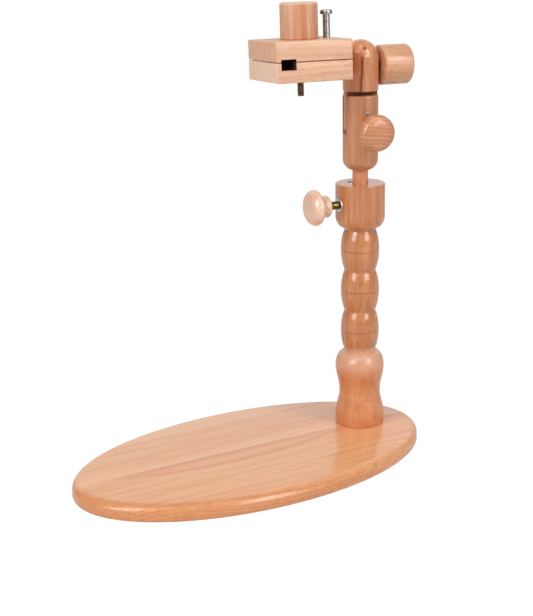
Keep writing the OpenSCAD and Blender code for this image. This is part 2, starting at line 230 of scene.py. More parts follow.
def object_place(net):
    """Position in the object's own coordinates, so that a pattern stays in its piece."""
    return net.nodes.new("ShaderNodeTexCoord").outputs["Object"]


print("helpers for places and patterns are ready")


# %% Colours
def paint(red, green, blue):
    """Linear colour of a shade read as 0 to 255 from a picture."""
    def linear(v):
        v /= 255
        return v / 12.92 if v <= 0.04045 else ((v + 0.055) / 1.055) ** 2.4
    return (linear(red), linear(green), linear(blue), 1)


def blend_colour(factor, a, b):
    node = beside("Mix", factor, a, b)
    node.data_type = "RGBA"
    for value, name in ((factor, "Factor"), (a, "A"), (b, "B")):
        join(value, node.inputs[name])
    return node.outputs["Result"]


def tint(colour, *layers):
    """The colour after layers of (mask, amount, shade), each turning it towards its shade."""
    for mask, amount, shade in layers:
        colour = blend_colour(math_node("MULTIPLY", mask, amount), colour, shade)
    return colour


def new_material(name):
    """Empty node material with a Principled shader, and the parts that a finish needs."""
    material = bpy.data.materials.new(name)
    material.use_nodes = True
    net = material.node_tree
    return material, net, net.nodes["Principled BSDF"], net.nodes["Material Output"]


print("middle grey in linear light:", round(paint(128, 128, 128)[0], 3))

# %% [markdown]
# ## Studio
# Two soft boxes light the stand from the left and the right of the camera, and the studio's pale
# walls fill the shadows. Two lower ones and the white backdrop are there for the lacquer only: each
# bead of the post mirrors the low boxes as two upright glints, and the board mirrors the backdrop.
# They add no light to the wood, so its colours stay as written. Where the camera looks past the
# floor it sees plain white, which lights nothing either.

# %% Walls and lamps
fill_strength, mirrored_strength = 0.30, 0.40
stand_middle = Vector((0.05, 0, 0.13))
sun_strength, sun_spread = 0.7, math.radians(50)

scene.view_settings.view_transform = "Standard"
world = bpy.data.worlds.new("studio")
scene.world = world
world.use_nodes = True
sky = world.node_tree.nodes["Background"]
sky.inputs["Color"].default_value = (1, 1, 1, 1)
sky_ray = world.node_tree.nodes.new("ShaderNodeLightPath")
wall_level = spread(sky_ray.outputs["Is Glossy Ray"], fill_strength, mirrored_strength)
sky_level = math_node("MAXIMUM", wall_level, sky_ray.outputs["Is Camera Ray"])
join(sky_level, sky.inputs["Strength"])


def soft_box(name, turn, rise, distance, width, height, watts, mirrored_only=False):
    """Rectangular lamp that faces the stand. Turn and rise are its direction, in degrees."""
    lamp = bpy.data.lights.new(name, "AREA")
    lamp.shape, lamp.size, lamp.size_y, lamp.energy = "RECTANGLE", width, height, watts
    holder = bpy.data.objects.new(name, lamp)
    out = direction(math.radians(turn), math.radians(rise))
    holder.location = stand_middle + out * distance
    holder.rotation_euler = out.to_track_quat("Z", "Y").to_euler()
    holder.visible_camera = False
    holder.visible_diffuse = not mirrored_only
    scene.collection.objects.link(holder)


soft_box("soft_box_left", -70, 38, 1.9, 0.8, 1.0, 15.5)
soft_box("soft_box_right", 19, 39, 1.9, 0.4, 0.7, 9.5)
soft_box("low_box_left", -78, 18, 1.9, 0.95, 0.6, 11, mirrored_only=True)
soft_box("low_box_right", 12, 18, 1.9, 0.95, 0.6, 11, mirrored_only=True)
soft_box("white_backdrop", 147, 27, 2.6, 5.0, 2.4, 19, mirrored_only=True)
overhead = bpy.data.lights.new("overhead", "SUN")
overhead.energy, overhead.angle = sun_strength, sun_spread
overhead_holder = bpy.data.objects.new("overhead", overhead)
overhead_holder.rotation_euler = (math.radians(22), math.radians(-8), 0)
scene.collection.objects.link(overhead_holder)

# %% [markdown]
# The floor is a large sheet of white paper. Seen by the camera it is mostly its own white, with a
# share of plain shaded paper left in, so that the soft shadow under the board stays.

# %% Paper floor
floor_half = 12.0
paper_own_share, paper_own_strength = 0.85, 1.10

paper, net, paper_shader, paper_out = new_material("white_paper")
speckle = noise(object_place(net), 40, 2.0, 0.5)
join(blend_colour(speckle, (0.86, 0.86, 0.86, 1), (0.9, 0.9, 0.9, 1)), paper_shader.inputs["Base Color"])
paper_shader.inputs["Roughness"].default_value = 0.9
own_white = net.nodes.new("ShaderNodeEmission")
own_white.inputs["Strength"].default_value = paper_own_strength
ray = net.nodes.new("ShaderNodeLightPath")
own_share = math_node("MULTIPLY", ray.outputs["Is Camera Ray"], paper_own_share)
blend = fed("MixShader", own_share, paper_shader.outputs["BSDF"], own_white.outputs["Emission"])
join(blend.outputs["Shader"], paper_out.inputs["Surface"])

floor_mesh = bpy.data.meshes.new("floor")
sheet_bm = bmesh.new()
bmesh.ops.create_grid(sheet_bm, x_segments=1, y_segments=1, size=floor_half)
sheet_bm.to_mesh(floor_mesh)
sheet_bm.free()
floor_mesh.materials.append(paper)
floor = bpy.data.objects.new("floor", floor_mesh)
scene.collection.objects.link(floor)
print("floor's side in metres:", 2 * floor_half)

# %% [markdown]
# ## What beech looks like inside
# Beech has three marks: faint growth rings, long soft streaks along the grain, and short dark
# dashes, the ends of its rays. Turned and sawn faces show different cuts through the same log, so
# the pattern is made in space, not painted on a surface. The group takes a position whose X runs
# along the grain, in millimetres, and gives masks only; each material chooses its own colours.
# Noise stretched thirty times along X makes streaks, distance from a far heart makes the rings,
# and the small cells of a stretched texture make the dashes.

# %% The beech group
def new_group(name, values, masks):
    """Node group that takes a position and some values, and gives masks."""
    group = bpy.data.node_groups.new(name, "ShaderNodeTree")
    face = group.interface
    face.new_socket("Position", in_out="INPUT", socket_type="NodeSocketVector")
    for label, value in values:
        face.new_socket(label, in_out="INPUT", socket_type="NodeSocketFloat").default_value = value
    for label in masks:
        face.new_socket(label, in_out="OUTPUT", socket_type="NodeSocketFloat")
    return group, group.nodes.new("NodeGroupInput").outputs, group.nodes.new("NodeGroupOutput").inputs


def beech_group():
    group, given, out = new_group(
        "beech", (("Ring Width", 3.0), ("Heart Y", 40.0), ("Heart Z", 60.0), ("Dash Size", 0.17)),
        ("Rings", "Streaks", "Fibres", "Dashes", "Height"))
    position = given["Position"]
    _, y, z = split(position)

    wander = noise(stretched(position, (0.012, 0.05, 0.05)), 1.0, 2)
    from_heart = length_of(math_node("SUBTRACT", y, given["Heart Y"]),
                           math_node("SUBTRACT", z, given["Heart Z"]))
    from_heart = math_node("MULTIPLY_ADD", wander, 9.0, from_heart)
    ring = math_node("FRACT", math_node("DIVIDE", from_heart, given["Ring Width"]))
    join(all_of(band(ring, 0.25, 0.93), band(ring, 1.0, 0.93)), out["Rings"])

    join(noise(stretched(position, (0.010, 0.22, 0.22)), 1.0, 4, 0.6), out["Streaks"])
    fibres = noise(stretched(position, (0.045, 1.5, 1.5)), 1.0, 3, 0.65)
    join(fibres, out["Fibres"])

    cells = fed("TexVoronoi", stretched(position, (0.30, 1.25, 1.25)))
    cells.inputs["Scale"].default_value = 1.0
    dashes = band(math_node("DIVIDE", cells.outputs["Distance"], given["Dash Size"]), 1.0, 0.55)
    join(dashes, out["Dashes"])
    half_fibres = math_node("MULTIPLY", fibres, 0.5)
    join(math_node("MULTIPLY_ADD", dashes, -1.0, half_fibres), out["Height"])
    return group


def from_group(group, position):
    """A group's node, fed with a position."""
    node = beside("Group", position)
    node.node_tree = group
    join(position, node.inputs["Position"])
    return node


def relief(shader, height, strength, depth):
    """Fine bumps on a shader."""
    bump = beside("Bump", height)
    bump.inputs["Strength"].default_value = strength
    bump.inputs["Distance"].default_value = depth
    join(height, bump.inputs["Height"])
    join(bump.outputs["Normal"], shader.inputs["Normal"])


beech_cells = beech_group()
print("beech group gives", [s.name for s in beech_cells.nodes["Group Output"].inputs if s.name])

# %% [markdown]
# ## Lacquered beech as a material
# Every wooden part gets its own log: the Mapping node lays the grain along the part, and the
# heart's place decides whether its faces show straight lines or arcs. The colours are pale, mid
# and dark shades of the same wood. The lacquer is the shader's coat, and the wood's own sheen
# varies a little with the fibres. A part may add three things of its own, each as a function of
# the place: marks change the colour, and some of them are painted light and shade, a dull mask
# thins the lacquer to satin, and a bare mask takes the lacquer off and paints the wood dark, as
# painted shade inside a slot or a groove. Because the coordinates are the object's own, the
# figure stays in the wood when a joint moves.

# %% Wood material
# The default colour for bare places is painted shade: the dark that falls inside a slot.
slot_shade_paint = paint(122, 80, 56)
along_grain = {"X": Matrix.Identity(4), "Y": Matrix.Rotation(math.radians(90), 4, "Z"),
               "Z": Matrix.Rotation(math.radians(-90), 4, "Y")}
dash_shade = 0.45
satin_thinner, satin_smoother, bare_rougher = -0.8, -0.14, 0.6
lacquer_specular = 0.4


def wood(name, place, grain, pale, mid, dark, heart=(40.0, 60.0), ring_width=3.0, rings=0.35,
         streaks=(0.38, 0.66), fibres=0.35, dashes=0.5, dash_size=0.17, coat=0.6, rough=(0.34, 0.48),
         polish=0.13, marks=None, dull=None, bare_shade=None, bare_shade_colour=slot_shade_paint):
    """Beech in a part's place. Grain is the part's axis that the fibres follow, heart, ring width
    and dash size describe the log in millimetres, and rings, fibres and dashes are the strengths
    of its marks. Coat, rough and polish are the lacquer's amount, the wood's roughness and the
    lacquer's."""
    material, net, shader, _ = new_material(name)
    laid = place @ along_grain[grain]
    log = fed("Mapping", object_place(net), laid.translation, laid.to_euler(), (MM, MM, MM))
    log.vector_type = "TEXTURE"
    position = log.outputs["Vector"]
    figure = from_group(beech_cells, position)
    figure.inputs["Heart Y"].default_value, figure.inputs["Heart Z"].default_value = heart
    figure.inputs["Ring Width"].default_value = ring_width
    figure.inputs["Dash Size"].default_value = dash_size
    look = figure.outputs

    dash_colour = tuple(dash_shade * c for c in dark[:3]) + (1,)
    colour = tint(blend_colour(band(look["Streaks"], *streaks), pale, mid),
                  (look["Rings"], rings, dark), (band(look["Fibres"], 0.42, 0.72), fibres, dark),
                  (look["Dashes"], dashes, dash_colour))
    if marks:
        colour = marks(position, colour)
    gloss, roughness = coat, spread(look["Fibres"], *rough)
    if dull:
        satin = dull(position)
        gloss = math_node("MULTIPLY_ADD", satin, satin_thinner * coat, coat)
        roughness = math_node("MULTIPLY_ADD", satin, satin_smoother, roughness)
    # A bare mask takes the lacquer off and paints a dark colour there, as painted shade.
    if bare_shade:
        bare_shade_here = bare_shade(position)
        colour = blend_colour(bare_shade_here, colour, bare_shade_colour)
        gloss = math_node("MULTIPLY", math_node("SUBTRACT", 1.0, bare_shade_here), gloss)
        roughness = math_node("MULTIPLY_ADD", bare_shade_here, bare_rougher, roughness, clamp=True)
    for value, name in ((colour, "Base Color"), (gloss, "Coat Weight"), (roughness, "Roughness"),
                        (lacquer_specular, "Specular IOR Level"), (polish, "Coat Roughness")):
        join(value, shader.inputs[name])
    relief(shader, look["Height"], 0.10, 0.0002)
    return material


def open_grain(position, along, across):
    """Mask of small pores, stretched along the grain."""
    pores = noise(stretched(position, (along, across, across)), 1.0, 3, 0.6)
    return band(pores, 0.5, 0.66)


# This shows the painted shade colour used inside the slot.
print("sawn wood without lacquer, in linear light:", [round(v, 3) for v in slot_shade_paint])

# %% [markdown]
# ## Plated metal as a material
# The screws and inserts are cheap plated steel. Plating is never even: it is duller in the roots
# of a thread and where fingers have been. One group turns two noises into a wear mask, and each
# metal uses it for its own two shades and for its roughness.

# %% The plating group and the metals
def plating_group():
    group, given, out = new_group("plating_wear", (), ("Wear", "Height"))
    large, fine = noise(given["Position"], 0.35, 3), noise(given["Position"], 3.0, 2)
    join(band(math_node("MULTIPLY_ADD", fine, 0.35, large), 0.52, 0.82), out["Wear"])
    join(fine, out["Height"])
    return group


plating_cells = plating_group()


def metal(name, bright, dull, rough_low, rough_high):
    """Plated steel with a bright and a dull shade, and a roughness for each."""
    material, net, shader, _ = new_material(name)
    plating = from_group(plating_cells, stretched(object_place(net), (1 / MM,) * 3))
    wear = plating.outputs["Wear"]
    join(blend_colour(wear, bright, dull), shader.inputs["Base Color"])
    join(spread(wear, rough_low, rough_high), shader.inputs["Roughness"])
    shader.inputs["Metallic"].default_value = 1.0
    relief(shader, plating.outputs["Height"], 0.03, 0.0001)
    return material


bright_zinc = metal("bright_zinc", paint(226, 228, 232), paint(178, 182, 190), 0.18, 0.34)
bright_nickel = metal("bright_nickel", paint(184, 181, 176), paint(156, 148, 138), 0.27, 0.34)
yellow_plate = metal("yellow_plate", paint(176, 158, 96), paint(118, 98, 52), 0.28, 0.45)
bronze_plate = metal("bronze_plate", paint(158, 136, 106), paint(98, 80, 58), 0.34, 0.55)
print("metals:", bright_zinc.name, bright_nickel.name, yellow_plate.name, bronze_plate.name)

# %% [markdown]
# ## The maker's tools
# A lathe, a drill and a saw make nearly every part here, so the helpers are the same three: turn
# an outline about Z, cut one closed shape out of another, and put the finished shape in its place.
# An outline is a list of corners (radius, height), and a third number rounds that corner, which is
# how a turner thinks of it: straight runs first, then the edges eased.

# %% Outlines
def eased(corners, steps=7):
    """Outline with each corner that has a third number rounded to that radius."""
    points = []
    for i, corner in enumerate(corners):
        here = Vector(corner[:2])
        radius = corner[2] if len(corner) > 2 else 0
        if not radius or i in (0, len(corners) - 1):
            points.append(here)
            continue
        before = (Vector(corners[i - 1][:2]) - here).normalized()
        after = (Vector(corners[i + 1][:2]) - here).normalized()
        half = before.angle(after) / 2
        reach = radius / math.tan(half)
        centre = here + (before + after).normalized() * (radius / math.sin(half))
        first, last = here + before * reach - centre, here + after * reach - centre
        sweep = first.angle_signed(last)
        for k in range(steps + 1):
            step = -sweep * k / steps
            turned = Vector((first.x * math.cos(step) - first.y * math.sin(step),
                             first.x * math.sin(step) + first.y * math.cos(step)))
            points.append(centre + turned)
    return [(p.x, p.y) for p in points]


def s_curve(r0, z0, r1, z1, steps=14):
    """Outline that swings from one radius to another like an S."""
    return [(r0 + (r1 - r0) * (1 - math.cos(math.pi * t / steps)) / 2, z0 + (z1 - z0) * t / steps)
            for t in range(steps + 1)]


def ellipse_arc(centre_r, centre_z, half_r, half_z, start, end, steps=12):
    """Part of an ellipse, between two angles in degrees."""
    return [(centre_r + half_r * math.cos(a), centre_z + half_z * math.sin(a))
            for a in (math.radians(start + (end - start) * k / steps) for k in range(steps + 1))]


print("a corner eased in three steps:", len(eased([(0, 0), (5, 0, 1), (5, 5)], 3)), "points")


# %% Lathe, drill and saw
def turn(outline, sides=96):
    """Closed shape spun about Z from an outline of (radius, height), in millimetres."""
    bm = bmesh.new()
    verts = [bm.verts.new((max(r, 0), 0, z)) for r, z in outline]
    edges = [bm.edges.new(pair) for pair in zip(verts, verts[1:])]
    bmesh.ops.spin(bm, geom=verts + edges, cent=(0, 0, 0), axis=(0, 0, 1), angle=math.tau,
                   steps=sides, use_merge=True, use_duplicate=False)
    bmesh.ops.remove_doubles(bm, verts=bm.verts, dist=0.0005)
    bmesh.ops.recalc_face_normals(bm, faces=bm.faces)
    return bm


def drill(radius, low, high, place=None, sides=64):
    """Cylinder for a hole, from low to high along Z, laid in a place if one is given."""
    bm = bmesh.new()
    bmesh.ops.create_cone(bm, cap_ends=True, segments=sides, radius1=radius, radius2=radius,
                          depth=high - low)
    bmesh.ops.translate(bm, verts=bm.verts, vec=(0, 0, (low + high) / 2))
    if place:
        bmesh.ops.transform(bm, verts=bm.verts, matrix=place)
    return bm


def block(low, high):
    """Box between two corners."""
    bm = bmesh.new()
    bmesh.ops.create_cube(bm, size=1)
    bmesh.ops.scale(bm, verts=bm.verts, vec=[b - a for a, b in zip(low, high)])
    bmesh.ops.translate(bm, verts=bm.verts, vec=[(a + b) / 2 for a, b in zip(low, high)])
    return bm


def verts_of(geom):
    """The corners among an operator's results."""
    return [g for g in geom if isinstance(g, bmesh.types.BMVert)]


def edges_among(geom, verts):
    """The edges among an operator's results that join two of the given corners."""
    edges = [g for g in geom if isinstance(g, bmesh.types.BMEdge)]
    return [e for e in edges if e.verts[0] in verts and e.verts[1] in verts]


print("lathe, drill and saw are ready")


# %% Joining and cutting
def worked(bm, *tools):
    """Shape after an exact Boolean with each (operation, tool shape) in turn."""
    benched = []
    for shape in (bm, *(tool for _, tool in tools)):
        mesh = bpy.data.meshes.new("worked")
        shape.to_mesh(mesh)
        shape.free()
        benched.append(bpy.data.objects.new("worked", mesh))
        scene.collection.objects.link(benched[-1])
    for (operation, _), tool in zip(tools, benched[1:]):
        step = benched[0].modifiers.new(operation, "BOOLEAN")
        step.operation, step.object, step.solver = operation, tool, "EXACT"
    bpy.context.view_layer.update()
    result = bmesh.new()
    result.from_object(benched[0], bpy.context.evaluated_depsgraph_get())
    for piece in benched:
        mesh = piece.data
        bpy.data.objects.remove(piece)
        bpy.data.meshes.remove(mesh)
    return result


def cut(bm, *tools):
    """Shape with every tool's shape taken away."""
    return worked(bm, *(("DIFFERENCE", tool) for tool in tools))


def together(bm, other):
    """Both shapes in one mesh, for a piece whose parts only touch."""
    mesh = bpy.data.meshes.new("other")
    other.to_mesh(mesh)
    other.free()
    bm.from_mesh(mesh)
    bpy.data.meshes.remove(mesh)
    return bm


print("joining and cutting are ready")

# %% [markdown]
# The bench is where a piece is finished. It puts the shape in its place inside its mesh, so the
# object itself stays at the origin. It shades faces smoothly and keeps edges sharp above an angle.

# %% Bench
made = {}


def bench(name, bm, place, body, node, material, smooth_below=35):
    """Puts a finished shape in its place as a piece that stands for a CAD node."""
    bmesh.ops.transform(bm, matrix=place, verts=bm.verts)
    mesh = bpy.data.meshes.new(name)
    bm.to_mesh(mesh)
    bm.free()
    mesh.shade_smooth()
    mesh.set_sharp_from_angle(angle=math.radians(smooth_below))
    mesh.materials.append(material)
    piece = bpy.data.objects.new(name, mesh)
    scene.collection.objects.link(piece)
    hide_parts(node)
    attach(piece, body)
    made[name] = len(mesh.polygons)
    print(f"{name}: {len(mesh.polygons)} faces")


# %% [markdown]
# ## The oval board
# A joiner glues two or three boards edge to edge, saws the oval and rounds its edge, more above
# than below. A circle scaled to the oval, extruded and bevelled gives the same result. The bevel
# runs after the extrusion, so its width is the same all round, as a router's is. Underneath there
# is the countersunk hole of the screw that holds the post, bridged to the oval, so the underside
# is closed.

# %% Board
board_half = (140.0, 80.0)
board_thick = 12.0
board_top_round = 6.0
board_low_round = 3.0
sink_depth = 2.6
screw_hole = 2.9
sink_hole = 5.7
left_above_hole = 0.5
board_sides = 192


def oval_board():
    """Bevelled oval with the sunk screw hole in its underside."""
    bm = bmesh.new()
    rim = bmesh.ops.create_circle(bm, segments=board_sides, radius=1)["verts"]
    bmesh.ops.scale(bm, verts=rim, vec=(board_half[0], board_half[1], 1))
    hole = bmesh.ops.create_circle(bm, segments=board_sides, radius=sink_hole)["verts"]
    bmesh.ops.translate(bm, verts=hole, vec=(column_x, 0, 0))
    rim, hole = set(rim), set(hole)
    rim_edges = [e for e in bm.edges if e.verts[0] in rim]
    hole_edges = [e for e in bm.edges if e.verts[0] in hole]
    bmesh.ops.bridge_loops(bm, edges=rim_edges + hole_edges)
    wall = bmesh.ops.extrude_edge_only(bm, edges=rim_edges)["geom"]
    top = verts_of(wall)
    bmesh.ops.translate(bm, verts=top, vec=(0, 0, board_thick))
    top_edges = edges_among(wall, top)
    bmesh.ops.contextual_create(bm, geom=top_edges)
    for depth in (sink_depth, board_thick - sink_depth - left_above_hole):
        step = bmesh.ops.extrude_edge_only(bm, edges=hole_edges)["geom"]
        ring = verts_of(step)
        now = (ring[0].co.xy - Vector((column_x, 0))).length
        bmesh.ops.translate(bm, verts=ring, vec=(0, 0, depth))
        bmesh.ops.scale(bm, verts=ring, vec=(screw_hole / now,) * 2 + (1,), space=shift(-column_x))
        hole_edges = edges_among(step, ring)
    bmesh.ops.contextual_create(bm, geom=hole_edges)
    for edges, radius, steps in ((top_edges, board_top_round, 8), (rim_edges, board_low_round, 5)):
        bmesh.ops.bevel(bm, geom=edges, offset=radius, segments=steps, profile=0.5, affect="EDGES",
                        material=-1)
    bmesh.ops.recalc_face_normals(bm, faces=bm.faces)
    return bm


print("board in millimetres:", 2 * board_half[0], 2 * board_half[1], board_thick)

# %% [markdown]
# The board's wood is two boards joined along its length: the glue line runs just behind the
# middle, and the board on the near side is darker next to it. A second, fainter line lies further
# back. Both are slightly askew, since the oval was sawn without regard to them. The marks are
# masks on the same coordinates as the grain, so they run through the edge as a real joint does.
# The rounded edge is end grain: it shows arcs round the near board's heart and more open pores,
# and it drinks the lacquer, so it is only satin.

# %% Board wood
near_joint, far_joint = 3.5, 56.0
near_heart, arc_pitch = (0, -66, -22), 2.7
board_askew = Matrix.Rotation(math.radians(-3), 4, "Z")


def toward_rim(position):
    """0 at the board's middle and 1 on its outline."""
    unit = stretched(position, (1 / board_half[0], 1 / board_half[1], 0))
    return distance(unit, (0, 0, 0))


def satin_rim(position):
    """Mask of the rounded edge."""
    return math_node("MULTIPLY", band(toward_rim(position), 0.945, 0.975), 0.9)


def end_grain(position, wave, colour):
    """The rounded edge's deeper colour, its arcs and its pores."""
    oval = toward_rim(position)
    from_heart = distance(stretched(position, (0, 1, 1)), near_heart)
    ring = math_node("MULTIPLY_ADD", wave, 2.0, math_node("DIVIDE", from_heart, arc_pitch))
    arcs = all_of(band(math_node("FRACT", ring), 0.3, 0.95), band(oval, 0.955, 0.985))
    flecks = all_of(open_grain(position, 0.35, 1.1), band(oval, 0.93, 0.97))
    return tint(colour, (band(oval, 0.955, 1.0), 0.5, paint(212, 138, 90)),
                (arcs, 0.34, paint(196, 116, 66)), (flecks, 0.45, paint(188, 108, 60)))


def glued_boards(position, colour):
    """Two boards and their dark and light strips, then the end grain."""
    along, across, _ = split(position)
    wave = noise(stretched(position, (0.012, 0.05, 0.05)), 1.0, 3)
    behind = math_node("SUBTRACT", near_joint, across)
    near_side, left_of_post = band(behind, -0.3, 0.3), band(along, 86, 60)

    run = math_node("ADD", along, 15.0)
    bow = math_node("MULTIPLY", math_node("MULTIPLY", run, run), -0.0016)
    lens = math_node("ADD", math_node("MULTIPLY_ADD", wave, 5.0, 15.5), bow)
    beyond_lens = math_node("SUBTRACT", behind, lens)
    in_lens = all_of(near_side, band(beyond_lens, 1.0, -3.0), left_of_post)
    at_joint = all_of(near_side, band(behind, 7.5, 0.5), band(along, -134, -70), band(along, 75, 0))
    lens_edge = all_of(band(math_node("ABSOLUTE", beyond_lens), 3.0, 0.3), band(along, -118, -80),
                       left_of_post)
    patch = all_of(near_side, band(behind, 20, 4), band(along, 108, 122))
    light_strip = all_of(band(behind, 0.3, -0.3), band(behind, -16, -1))
    far_board = band(across, far_joint - 0.4, far_joint + 0.4)
    colour = tint(colour, (in_lens, 0.22, paint(212, 124, 66)), (at_joint, 0.62, paint(206, 116, 58)),
                  (lens_edge, 0.48, paint(206, 116, 58)), (patch, 0.55, paint(204, 116, 60)),
                  (light_strip, 0.6, paint(240, 184, 142)), (far_board, 0.6, paint(240, 184, 134)))
    return end_grain(position, wave, colour)


board_wood = wood("board_beech", metres @ board_askew, "X", paint(240, 176, 125), paint(233, 161, 107),
                  paint(194, 122, 72), heart=(10.0, -70.0), ring_width=4.5, rings=0.14, dashes=0.5,
                  dash_size=0.24, coat=0.8, rough=(0.34, 0.45), marks=glued_boards, dull=satin_rim)
bench("oval_board", oval_board(), metres, "stand", "base_board", board_wood)

# %% [markdown]
# ## The turned column
# One length of beech is turned between centres: a foot with a waist, a shoulder, three beads and
# a collar, with a fine line scored round each bead where the tool was dipped. Its outline is the
# turner's template. Beads are fuller near their line than a circle would be, so the outline uses a
# power curve for them and a smooth S for the waist. The bore for the rod, the threaded insert's
# seat and a tiny resin hole in the end grain are cut afterwards.

# %% Column outline
foot_radius, waist_radius, shoulder_radius = 18.2, 15.2, 18.15
foot_top, waist_at, shoulder_at = board_thick + 8, board_thick + 25.5, board_thick + 45.5
shoulder_rise = 11
bead_start, bead_pitch, bead_count = 69.5, 30.7, 3
bead_radius, neck_radius = 14.2, 11.5
bead_fullness, bead_line, bead_gap = 2.2, 0.45, 0.15
collar_start = bead_start + bead_count * bead_pitch
collar_radius, collar_curve, collar_neck = 18.15, 8.5, neck_radius + 0.9
rod_bore, bore_floor = 5.85, 69.8


def bead(middle, steps=12):
    """Outline of one bead with the fine line round its middle."""
    half = bead_pitch / 2 - bead_gap
    rise = [k / steps for k in range(steps, 0, -1)]
    drop = bead_radius - neck_radius
    lower = [(bead_radius - drop * u ** bead_fullness, middle - half * u) for u in rise]
    upper = [(r, 2 * middle - z) for r, z in reversed(lower)]
    line = [(bead_radius, middle - bead_line), (bead_radius - bead_line, middle - 0.1),
            (bead_radius - bead_line, middle + 0.1), (bead_radius, middle + bead_line)]
    return lower + line + upper


column_outline = (
    [(0, board_thick), (17.6, board_thick), (18.1, board_thick + 0.3), (foot_radius, board_thick + 0.8)]
    + s_curve(foot_radius, foot_top, waist_radius, waist_at)
    + s_curve(waist_radius, waist_at, shoulder_radius, shoulder_at)[1:]
    + ellipse_arc(neck_radius, shoulder_at, shoulder_radius - neck_radius, shoulder_rise, 0, 88)[1:]
    + [p for i in range(bead_count) for p in bead(bead_start + (i + 0.5) * bead_pitch)]
    + ellipse_arc(collar_neck, collar_start + 1.7 + collar_curve, collar_radius - collar_neck,
                  collar_curve, -90, 0)
    + eased([(collar_radius, 190), (collar_radius, column_top, 0.7), (rod_bore, column_top, 0.4),
             (rod_bore, 180)])[1:]
    + [(rod_bore, bore_floor), (0, bore_floor)])
print("column outline has", len(column_outline), "points, top at", column_top)

# %% [markdown]
# The foot and waist are painted paler, as painted light thrown up from the board, and the
# shoulder paler still, as a painted sheen; the wood below has warmer patches and open pores. The
# lacquer is brilliant on the beads and thin on the foot, which gives crisp glints above and soft
# ones below.

# %% Column
resin_hole, resin_radius = (-4.5, 6.7), 1.6


def foot_painted_light_and_grain(position, colour):
    """Foot painted paler as painted light from the board, shoulder paler still as a painted sheen, and the
    wood's warm patches and open pores.
    """
    up, _, _ = split(position)
    below_beads = band(up, 74, 70)
    warm = band(noise(stretched(position, (0.06, 0.11, 0.11)), 1.0, 3), 0.47, 0.66)
    # The first two layers are painted light: a paler foot for light thrown up from the board, and a paler
    # shoulder for its sheen.
    return tint(colour, (band(up, 76, 48), 0.65, paint(233, 161, 113)),
                (all_of(band(up, 50, 62), below_beads), 0.6, paint(230, 184, 154)),
                (all_of(warm, band(up, 58, 50)), 0.5, paint(200, 112, 58)),
                (all_of(open_grain(position, 0.3, 1.2), below_beads), 0.4, paint(190, 112, 66)))


def satin_foot(position):
    """Mask of everything below the beads."""
    up, _, _ = split(position)
    return band(up, 70, 65)


def resin_hole_shade(position):
    """Mask of painted near-black shade in and round the resin hole in the collar's top."""
    top_of_hole = (column_top, resin_hole[1], -resin_hole[0])
    return band(distance(position, top_of_hole), resin_radius + 0.4, resin_radius + 0.2)


# The resin hole is painted near black and left without lacquer, as painted shade inside it.
post_wood = wood("post_beech", on_column, "Z", paint(214, 145, 91), paint(196, 117, 63),
                 paint(156, 83, 42), heart=(60.0, 46.0), ring_width=4.2, rings=0.22,
                 streaks=(0.30, 0.74), fibres=0.6, dashes=0.45, dash_size=0.2, coat=0.9,
                 rough=(0.38, 0.48), polish=0.06, marks=foot_painted_light_and_grain, dull=satin_foot,
                 bare_shade=resin_hole_shade, bare_shade_colour=paint(18, 9, 7))
column = cut(turn(column_outline, 128),
             drill(5.3, 17.2, 24, to_side),
             drill(4.65, 9, 18, to_side),
             drill(3.4, 4, 12, to_side),
             drill(resin_radius, column_top - 4, column_top + 1, shift(*resin_hole), sides=16))
bench("turned_column", column, on_column, "stand", "column", post_wood)

# %% [markdown]
# ## The sliding rod
# A plain dowel with eased ends. It slides in the column's bore and carries the elbow.

# %% Rod
rod_radius, rod_low, rod_high = 5.75, 79.8, 221.0
rod_wood = wood("rod_beech", on_column @ shift(z=300), "Z", paint(230, 153, 106), paint(222, 142, 94),
                paint(190, 110, 66), heart=(9.0, 60.0), ring_width=3.6, rings=0.12, coat=0.8)
rod_outline = eased([(0, rod_low), (rod_radius, rod_low, 0.6), (rod_radius, rod_high, 0.6),
                     (0, rod_high)])
bench("sliding_rod", turn(rod_outline, 72), on_column, "rod", "rod", rod_wood)

# %% [markdown]
# ## The elbow
# The barrel has a slot sawn through it, and the head's tongue turns in it on the pivot screw. The
# slot's floor is round about the pivot, so the tongue's round end clears it, and the head's dome
# is a half ball. Both are turned first and cut afterwards, as in the workshop. Above the pivot the
# near cheek has a small hole, for a short bright pin. Inside the slot the wood has no lacquer and
# is painted dark, as painted shade.

# %% Barrel
barrel_radius, barrel_height = 12.8, 54.5
pivot_rise = pivot_z - barrel_z
slot_half, slot_radius = 3.25, 13.1
screw_clearance, insert_bore = 3.1, 4.65
pin_rise = 11.6
elbow_place = on_arm @ shift(z=barrel_z)


def slot_shade_mask(position):
    """Mask of the slot's cheeks and floor, left without lacquer and painted dark as painted shade."""
    up, across, out = split(position)
    rise = math_node("SUBTRACT", up, pivot_rise)
    between = band(math_node("ABSOLUTE", across), slot_half + 0.25, slot_half + 0.05)
    over_floor = band(length_of(rise, out), slot_radius + 0.3, slot_radius + 0.1)
    inside = math_node("MAXIMUM", over_floor, band(rise, 0, 0.2))
    from_axis = length_of(across, out)
    behind_mouth = band(from_axis, barrel_radius - 0.3, barrel_radius - 0.7)
    return all_of(between, inside, behind_mouth)


